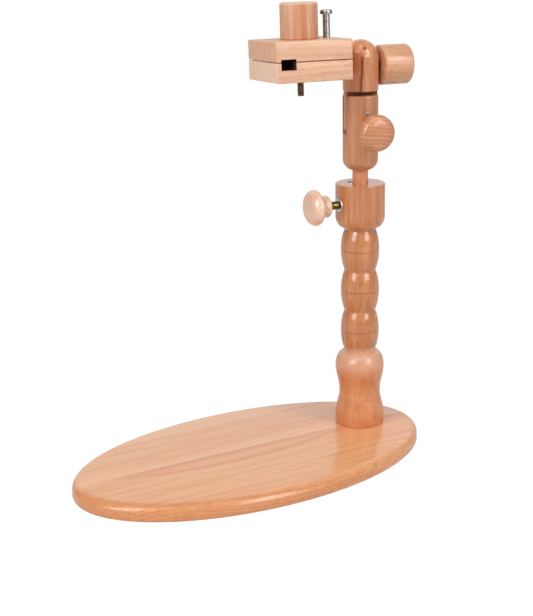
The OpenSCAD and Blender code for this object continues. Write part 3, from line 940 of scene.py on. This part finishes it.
# The slot's inside is painted dark with the default shade colour, as painted shade.
barrel_wood = wood("barrel_beech", elbow_place, "Z", paint(212, 149, 108), paint(200, 133, 92),
                   paint(168, 98, 58), heart=(46.0, -48.0), ring_width=3.8, rings=0.25, dashes=0.6,
                   fibres=0.5, dash_size=0.2, coat=0.3, bare_shade=slot_shade_mask)
barrel_outline = eased([(0, 0), (barrel_radius, 0, 8), (barrel_radius, barrel_height, 1.2),
                        (0, barrel_height)], steps=14)
front_of_barrel = shift(z=pivot_rise) @ face_front
barrel = cut(turn(barrel_outline),
             block((-20, -slot_half, pivot_rise), (20, slot_half, barrel_height + 5)),
             drill(slot_radius, -slot_half, slot_half, front_of_barrel, sides=96),
             drill(rod_radius + 0.1, -1, 15.8),
             drill(screw_clearance, -20, 20, front_of_barrel),
             drill(insert_bore, -20, -slot_half - 1.2, front_of_barrel),
             drill(1.55, slot_half + 0.6, 20, front_of_barrel @ shift(y=pin_rise), sides=32))
bench("elbow_barrel", barrel, elbow_place, "barrel", "barrel", barrel_wood)

# %% [markdown]
# The head shows a small knot below its crown and a reddish streak running down from it, and left
# of the streak the wood is painted darker and redder, as painted shade on the head's left side.
# The knot and the streak are masks by distance: the knot from a point on the surface, and the
# streak from a line that leans a little and ends at the neck. The lacquer is thin on both. The
# tongue below the neck has no lacquer and is painted dark along its two edges and round its end,
# as painted shade where it sits in the slot.

# %% Head wood
head_low, dome_at = 263.0, 286.1
streak_left, streak_top, streak_lean = 4.2, 8.0, 0.055
knot_point = (13.6, -10.2, 1.6)
head_place = on_arm @ shift(z=head_z)


def from_streak(position):
    """How far a place lies left of the streak, in millimetres."""
    up, _, left = split(position)
    wave = noise(stretched(position, (0.08, 0.08, 0.08)), 1.0, 2)
    middle = math_node("MULTIPLY_ADD", wave, 1.6, streak_left - 0.8)
    middle = math_node("MULTIPLY_ADD", up, -streak_lean, middle)
    return math_node("SUBTRACT", left, middle)


def streak_mask(position):
    """Mask of the reddish streak."""
    up, near, _ = split(position)
    off = math_node("ABSOLUTE", from_streak(position))
    return all_of(band(off, 1.5, 0.4), band(near, -6, -8), band(up, streak_top + 2, streak_top - 2))


def knot_mask(position):
    """Mask of the small knot."""
    return band(distance(position, knot_point), 1.9, 0.6)


def knot_streak_and_shade(position, colour):
    """The painted shade left of the streak, the streak and the knot."""
    up, near, _ = split(position)
    left = from_streak(position)
    # Left of the streak the wood is painted darker and redder: painted shade on the head's left side.
    left_painted_shade = all_of(band(left, -0.6, 0.8), band(left, 9, 5), band(near, -2, -6), band(up, 16, 4))
    return tint(colour, (left_painted_shade, 0.75, paint(178, 99, 52)),
                (streak_mask(position), 0.9, paint(132, 54, 18)),
                (knot_mask(position), 0.92, paint(112, 38, 14)))


def thin_lacquer(position):
    """Mask of the streak and the knot together."""
    return math_node("MAXIMUM", streak_mask(position), knot_mask(position))


def tongue_shade_mask(position):
    """Mask of painted shade on the tongue's edges and round its end, where it sits in the slot."""
    up, near, _ = split(position)
    neck, turning_end = head_low - head_z, pivot_z - head_z
    edges = band(math_node("ABSOLUTE", near), 1.8, 2.5)
    edges = math_node("MAXIMUM", edges, band(up, turning_end, turning_end - 0.8))
    return all_of(edges, band(up, neck - 0.1, neck - 0.4))


# The tongue's edges and round end lose their lacquer and are painted dark: painted shade in the slot.
head_wood = wood("head_beech", head_place, "Z", paint(223, 153, 103), paint(210, 135, 86),
                 paint(172, 97, 54), heart=(16.0, 42.0), ring_width=3.6, rings=0.3, dashes=0.4,
                 fibres=0.5, coat=0.7, rough=(0.36, 0.46), polish=0.07, marks=knot_streak_and_shade,
                 dull=thin_lacquer, bare_shade=tongue_shade_mask, bare_shade_colour=paint(146, 98, 70))
print("knot is", round(math.hypot(*knot_point[1:]), 1), "mm from the head's axis")

# %% [markdown]
# The tongue is as thin as a plate and as round as the head. It is cut the way a joiner would do it:
# a plate with a round end, and of that only what lies inside a dowel of the tongue's own radius.

# %% Head
tongue_half, tongue_round = 2.8, 12.35
head_outline = (eased([(0, head_low), (barrel_radius, head_low, 0.7), (barrel_radius, dome_at)])
                + ellipse_arc(0, dome_at, barrel_radius, barrel_radius, 0, 90, 20)[1:])
front_of_head = shift(z=pivot_z) @ face_front
across_head = shift(z=head_z) @ lay_down
round_end = drill(tongue_round, -tongue_half, tongue_half, front_of_head, sides=96)
shank = block((-14, -tongue_half, pivot_z), (14, tongue_half, head_low + 3))
tongue = worked(drill(tongue_round, pivot_z - 14, head_low + 3, sides=96),
                ("INTERSECT", worked(round_end, ("UNION", shank))))
head = worked(turn(head_outline), ("UNION", tongue),
              ("DIFFERENCE", drill(screw_clearance, -20, 20, front_of_head)),
              ("DIFFERENCE", drill(screw_clearance, -20, 20, across_head)),
              ("DIFFERENCE", drill(9.3, -30, -11.8, across_head)))
bench("elbow_head", head, on_arm, "elbow_head", "elbow_head", head_wood)

# %% [markdown]
# ## The clamp's jaws
# Each jaw is a square block with a groove across, and together the two grooves take the hoop's
# rim. The outline with its groove is drawn once, seen from the side, extruded to the jaw's width
# and its edges eased with a bevel, as a sanding block would. The holes are drilled last.

# %% Jaw shape
jaw_inner, jaw_outer, jaw_middle, jaw_half = -18.2, -74.5, -46.35, 28.15
groove_from, groove_to = -71.1, -60.0
jaw_ease = 0.8
heel_at = -25.7


def jaw(bottom, top, notch_side, notch_depth):
    """Jaw between two heights, with its groove in the face that meets the other jaw."""
    meet, far = (top, bottom) if notch_side > 0 else (bottom, top)
    notch = meet - notch_side * notch_depth
    outline = [(jaw_outer, meet), (groove_from, meet), (groove_from, notch), (groove_to, notch),
               (groove_to, meet), (jaw_inner, meet), (jaw_inner, far), (jaw_outer, far)]
    bm = bmesh.new()
    face = bm.faces.new([bm.verts.new((x, -jaw_half, z)) for x, z in outline])
    grown = bmesh.ops.extrude_face_region(bm, geom=[face])["geom"]
    bmesh.ops.translate(bm, verts=verts_of(grown), vec=(0, 2 * jaw_half, 0))
    bmesh.ops.recalc_face_normals(bm, faces=bm.faces)

    def in_groove(edge):
        return all(groove_from - 0.1 < v.co.x < groove_to + 0.1 for v in edge.verts)
    outer = [e for e in bm.edges if not in_groove(e)]
    inner = [e for e in bm.edges if in_groove(e)]
    bmesh.ops.bevel(bm, geom=outer, offset=jaw_ease, segments=4, profile=0.5, affect="EDGES",
                    material=-1, clamp_overlap=True)
    print("jaw edges eased:", len(outer), "left crisp in the groove:", len(inner))
    return bm


print("jaw in millimetres:", round(jaw_inner - jaw_outer, 1), "by", 2 * jaw_half)

# %% [markdown]
# The jaws are the palest wood, with hardly any lacquer, and the lower one's end grain is paler
# still. The groove has no lacquer and is painted dark, as painted shade deep inside it. The upper
# jaw's log is shifted against the lower one's, so that the two blocks don't show the same figure,
# and the groove's painted shade shifts back by the same step.

# %% Jaws
groove_low, groove_high = 1.75, 9.25
log_shift = Vector((50, 7, 3))
groove_shade_paint = paint(84, 46, 34)
jaw_shades = paint(234, 188, 156), paint(225, 174, 140), paint(194, 134, 96)


def groove_shade_mask(beyond):
    """Mask of painted shade on the bare wood in the groove, for a jaw whose log is shifted by a step."""
    def mask(position):
        along, across, up = (math_node("ADD", value, step)
                             for value, step in zip(split(position), beyond))
        return all_of(band(along, groove_from - 0.3, groove_from - 0.1),
                      band(along, groove_to + 0.3, groove_to + 0.1),
                      band(math_node("ABSOLUTE", across), jaw_half - 0.1, jaw_half - 0.9),
                      band(up, groove_low - 0.2, groove_low - 0.1),
                      band(up, groove_high + 0.2, groove_high + 0.1))
    return mask


def pale_end(position, colour):
    """The outer end grain, paler than the sides."""
    along, _, _ = split(position)
    end = band(along, jaw_outer + 0.9, jaw_outer + 0.2)
    return tint(colour, (end, 0.45, paint(255, 228, 208)))


# Both jaws paint their groove dark, as painted shade.
lower_wood = wood("lower_jaw_beech", on_clamp, "X", *jaw_shades, heart=(6.0, -60.0), ring_width=3.6,
                  rings=0.2, dashes=0.75, dash_size=0.25, coat=0.15, rough=(0.5, 0.62),
                  marks=pale_end, bare_shade=groove_shade_mask((0, 0, 0)), bare_shade_colour=groove_shade_paint)
upper_wood = wood("upper_jaw_beech", on_clamp @ Matrix.Translation(log_shift), "X", *jaw_shades,
                  heart=(34.0, 46.0), ring_width=4.2, rings=0.3, dashes=0.4, dash_size=0.2,
                  coat=0.15, rough=(0.5, 0.62), bare_shade=groove_shade_mask(log_shift), bare_shade_colour=groove_shade_paint)
lower_jaw = cut(jaw(-6.85, 6.85, 1, 5.1),
                drill(insert_bore, jaw_inner - 5.6, jaw_inner + 2, lay_down),
                drill(4.05, -9, 3.2, shift(jaw_middle)),
                drill(2.9, 0, 9, shift(jaw_middle)))
upper_jaw = cut(jaw(7.35, 21.05, -1, 1.9),
                drill(2.9, 5, 25, shift(jaw_middle)),
                drill(3.65, 5, 25, shift(heel_at)),
                drill(5.7, 20.45, 25, shift(heel_at)))
bench("lower_jaw", lower_jaw, on_clamp, "lower_jaw", "lower_jaw", lower_wood)
bench("upper_jaw", upper_jaw, on_clamp, "upper_jaw", "upper_jaw", upper_wood)

# %% [markdown]
# A wooden washer sits between the head and the lower jaw, so that the jaws clear the head's round
# side when the clamp rolls. It is turned as a ring.

# %% Washer between head and clamp
washer_outline = eased([(3.15, 0), (9.0, 0, 0.5), (9.0, 6.4, 0.3), (3.15, 6.4), (3.15, 0)])
washer_wood = wood("washer_beech", along_head, "Y", paint(232, 186, 152), paint(220, 166, 130),
                   paint(196, 132, 92), dashes=0.4)
bench("jaw_washer", turn(washer_outline, 72), along_head @ shift(z=jaw_inner), "lower_jaw",
      "jaw_spacer", washer_wood)

# %% [markdown]
# ## Knobs
# Two knobs are turned like small mushrooms: a boss, a neck and a wide domed face. Two are plain
# lengths of dowel with eased edges, one across the head and one upright on the clamp. Each has
# its own grain direction: on the mushrooms it runs across the face, on the dowels along them.

# %% Turned knobs
knob_bore, bore_depth = 3.05, 11.5
neck, neck_height, face_radius, face_height = 7.6, 3.8, 13.1, 10.4
crown_radius, crown_height = 7.9, 15.9
knob_outline = (
    [(0, bore_depth), (knob_bore, bore_depth), (knob_bore, 0)]
    + ellipse_arc(8.1 - 1.7, 1.7, 1.7, 1.7, -90, 25, 8)
    + s_curve(neck, neck_height, face_radius, face_height)
    + ellipse_arc(crown_radius, face_height, face_radius - crown_radius, 5.5, 0, 80)[1:]
    + ellipse_arc(0, crown_height, crown_radius, 0.6, 25, 90, 6)
)
side_knob_place = along_side @ shift(z=26.75)
side_knob_wood = wood("side_knob_beech", side_knob_place, "X", paint(243, 205, 178),
                      paint(233, 188, 158), paint(204, 150, 116), heart=(50.0, 12.0),
                      ring_width=3.0, rings=0.15, dashes=0.35, coat=0.9, polish=0.08)
bench("side_knob", turn(knob_outline), side_knob_place, "side_knob", "side_knob",
      side_knob_wood)
pivot_knob_place = along_pivot @ shift(z=18.1)
pivot_knob_tilt = Matrix.Rotation(math.radians(-7), 4, "Z")
pivot_knob_wood = wood("pivot_knob_beech", pivot_knob_place @ pivot_knob_tilt, "X",
                       paint(219, 158, 116), paint(205, 138, 94), paint(172, 102, 62),
                       heart=(90.0, 10.0), ring_width=2.6, rings=0.5, fibres=0.6, dashes=0.6,
                       dash_size=0.22, coat=0.5, polish=0.08)
bench("pivot_knob", turn(knob_outline), pivot_knob_place, "pivot_knob", "pivot_knob",
      pivot_knob_wood)

# %% [markdown]
# The clamp's knob is rough to the hand and nearly matt. It has a darker line and a slightly darker
# zone left of it on its near side, and its top and upper edge are painted pale, as a painted sheen.

# %% Dowel knobs
head_knob_outline = ([(0, 17), (knob_bore, 17), (knob_bore, 0)]
                     + eased([(knob_bore, 0), (14.2, 0, 1.4), (14.2, 22.6, 1.8), (0, 22.6)])[1:])
head_knob_place = along_head @ shift(z=13.6)
head_knob_wood = wood("head_knob_beech", head_knob_place, "Z", paint(222, 168, 129),
                      paint(210, 148, 107), paint(178, 110, 70), heart=(50.0, 66.0),
                      ring_width=3.6, rings=0.3, dashes=0.8, dash_size=0.28, coat=0.4)
bench("head_knob", turn(head_knob_outline), head_knob_place, "head_knob", "head_knob",
      head_knob_wood)

stripe_left = 2.0


def stripe_and_painted_sheen(position, colour):
    """The darker line and zone, and a painted sheen on the top and its upper edge."""
    up, near, left = split(position)
    wave = noise(stretched(position, (0.05, 0.8, 0.8)), 1.0, 3)
    ragged = math_node("MULTIPLY_ADD", wave, 1.6, left)
    on_near_side = band(near, -5, -8)
    off = math_node("ABSOLUTE", math_node("SUBTRACT", ragged, stripe_left))
    line = all_of(band(off, 2.8, 1.0), on_near_side)
    left_of_line = all_of(band(ragged, stripe_left - 1.5, stripe_left), band(ragged, 11, 7), on_near_side)
    # The top and its eased upper edge are painted paler: a painted sheen.
    return tint(colour, (line, 0.66, paint(192, 110, 60)), (left_of_line, 0.45, paint(204, 134, 92)),
                (band(up, 23.4, 24.8), 0.6, paint(244, 208, 180)))


clamp_knob_place = on_clamp @ shift(jaw_middle, 0, 21.05)
clamp_knob_outline = ([(0, 24.0), (2.9, 24.0), (2.9, 10.0), (4.05, 10.0), (4.05, 0)]
                      + eased([(4.05, 0), (13.3, 0, 1.2), (13.3, 25.4, 1.5), (0, 25.4)])[1:])
clamp_knob_wood = wood("clamp_knob_beech", clamp_knob_place, "Z", paint(225, 177, 146),
                       paint(214, 161, 127), paint(184, 118, 80), heart=(64.0, 50.0),
                       ring_width=4.6, rings=0.2, fibres=0.5, dashes=0.3, dash_size=0.2,
                       coat=0.08, rough=(0.5, 0.62), marks=stripe_and_painted_sheen)
bench("clamp_knob", turn(clamp_knob_outline), clamp_knob_place, "clamp_knob", "clamp_knob",
      clamp_knob_wood)

# %% [markdown]
# ## Screws with real threads
# A thread is one tooth's outline carried round and up at once. Spin does that with dvec: each
# step also climbs by a share of the pitch, so the turn's end meets the start of the next. One turn
# is enough, because the others are copies of it, each a pitch higher. The wound strip is then cut
# flat at both ends and the cuts are filled, which leaves a closed shape. The two small sizes here
# are M6 with a 1 mm pitch and M5 with 0.8 mm.

# %% Threads
m6_radius, m6_pitch = 3.0, 1.0
m5_radius, m5_pitch, m5_sides = 2.5, 0.8, 36
thread_smooth = 50


def threaded(length, radius, pitch, sides=40, point=0.5):
    """Threaded bar from zero to length along Z, with chamfered ends."""
    root = radius - 0.6 * pitch
    tooth = [(root, 0), (root, 0.12 * pitch), (radius, 0.45 * pitch), (radius, 0.57 * pitch),
             (root, 0.9 * pitch), (root, pitch)]
    turns = math.ceil(length / pitch) + 2
    bm = bmesh.new()
    verts = [bm.verts.new((r, 0, z - pitch)) for r, z in tooth]
    edges = [bm.edges.new(pair) for pair in zip(verts, verts[1:])]
    bmesh.ops.spin(bm, geom=verts + edges, cent=(0, 0, 0), axis=(0, 0, 1), dvec=(0, 0, pitch / sides),
                   angle=math.tau, steps=sides, use_merge=False, use_duplicate=False)
    one_turn = list(bm.verts) + list(bm.edges) + list(bm.faces)
    for k in range(1, turns):
        next_turn = bmesh.ops.duplicate(bm, geom=one_turn)["geom"]
        bmesh.ops.translate(bm, verts=verts_of(next_turn), vec=(0, 0, k * pitch))
    bmesh.ops.remove_doubles(bm, verts=bm.verts, dist=0.004)
    for height, side in ((0.0, -1), (length, 1)):
        geom = list(bm.verts) + list(bm.edges) + list(bm.faces)
        bmesh.ops.bisect_plane(bm, geom=geom, dist=0.0001, plane_co=(0, 0, height),
                               plane_no=(0, 0, side), clear_outer=True)
    rims = [e for e in bm.edges if e.is_boundary]
    bmesh.ops.holes_fill(bm, edges=rims, sides=0)
    for v in bm.verts:
        inset = point - min(v.co.z, length - v.co.z)
        if inset > 0 and v.co.xy.length > radius - inset:
            v.co.xy *= (radius - inset) / v.co.xy.length
    bmesh.ops.recalc_face_normals(bm, faces=bm.faces)
    return bm


for name, length, place in (("side_screw", 31.2, along_side @ shift(z=6.05)),
                            ("pivot_screw", 39.4, along_pivot @ shift(z=-10.8)),
                            ("head_screw", 53.0, along_head @ shift(z=-23.4))):
    bench(name, threaded(length, m6_radius, m6_pitch), place, name, name, yellow_plate,
          thread_smooth)
bench("clamp_stud", threaded(62.0, m5_radius, m5_pitch, m5_sides), on_clamp @ shift(jaw_middle, 0, -18.35),
      "clamp_stud", "clamp_stud", bronze_plate, thread_smooth)

# %% [markdown]
# ## The heel screw
# This bright machine screw stands in the upper jaw next to the knob. Its flat head has softly
# rounded edges and a hexagon socket. The shank above the jaw is plain, and only its lower part,
# the part that sits in the insert, is threaded, as on most screws of this length.

# %% Heel screw
heel_screw_low, heel_thread = 7.35, 13.0
heel_head_from, heel_head_to, heel_head_radius = 30.1, 33.1, 4.35
heel_outline = eased([(0, heel_thread - 0.3), (m5_radius, heel_thread - 0.3),
                      (m5_radius, heel_head_from), (heel_head_radius, heel_head_from, 0.4),
                      (heel_head_radius, heel_head_to, 1.1), (0, heel_head_to)])
shank_and_head = cut(turn(heel_outline, 64), drill(1.75, 31.3, 35, sides=6))
heel_screw = together(threaded(heel_thread, m5_radius, m5_pitch, m5_sides), shank_and_head)
bench("heel_screw", heel_screw, on_clamp @ shift(heel_at, 0, heel_screw_low), "heel_screw",
      "heel_screw", bright_nickel, thread_smooth)

# %% [markdown]
# ## Inserts, pin and the screw under the board
# Each insert is a zinc bush with a thin flange or a chamfered mouth. They are turned as rings, and
# the post's screw from beneath gets a cross recess, cut with two small blocks.

# %% Inserts
m6_bush, m5_bush = 3.05, 2.55
mouth = 0.35


def bush(outer, inner, low, high, flange=None, flange_from=None):
    """Ring from low to high, with a flange at its upper end if one is given."""
    outline = [(inner, low), (outer, low, 0.3)]
    if flange:
        outline += [(outer, flange_from), (flange, flange_from, 0.2), (flange, high, 0.35)]
    else:
        outline += [(outer, high, 0.3)]
    outline += [(inner + mouth, high), (inner, high - mouth), (inner, low)]
    return turn(eased(outline, 4), 64)


for name, ring, place, body in (
        ("side_insert", bush(4.6, m6_bush, 9.15, 18.45, 5.2, 17.25), along_side, "stand"),
        ("pivot_insert", bush(4.6, m6_bush, -11.9, -4.3), along_pivot, "barrel"),
        ("end_insert", bush(4.6, m6_bush, jaw_inner - 5.5, jaw_inner), along_head, "lower_jaw"),
        ("stud_insert", bush(4.0, m5_bush, -6.85, 3.15), on_clamp @ shift(jaw_middle), "lower_jaw"),
        ("heel_insert", bush(3.6, m5_bush, 8.85, 21.05, 5.6, 20.45), on_clamp @ shift(heel_at),
         "upper_jaw"),
        ("clamp_knob_insert", bush(4.0, m5_bush, 0.2, 10.0), clamp_knob_place, "clamp_knob")):
    bench(name, ring, place, body, name, bright_zinc)

# %% Cheek pin and post screw
pin_radius, pin_from, pin_length = 1.5, 3.7, 9.2
pin_outline = eased([(0, 0), (pin_radius, 0, 0.3), (pin_radius, pin_length, 0.45), (0, pin_length)], 5)
bench("cheek_pin", turn(pin_outline, 32), along_pivot @ shift(0, pin_rise, pin_from), "barrel",
      "cheek_pin", bright_nickel)

recess_reach, recess_half, recess_deep = 2.2, 0.5, 1.9
post_screw_outline = eased([(0, 0.3), (5.0, 0.3, 0.15), (2.5, 2.6), (2.5, 12.0), (2.2, 12.0),
                            (2.2, 42.0), (0.3, 48.0), (0, 48.0)])
post_screw = cut(turn(post_screw_outline, 48),
                 block((-recess_reach, -recess_half, -1), (recess_reach, recess_half, recess_deep)),
                 block((-recess_half, -recess_reach, -1), (recess_half, recess_reach, recess_deep)))
bench("post_screw", post_screw, on_column, "stand", "column_screw", bright_zinc)
print("pieces:", len(made), "faces in all:", sum(made.values()))
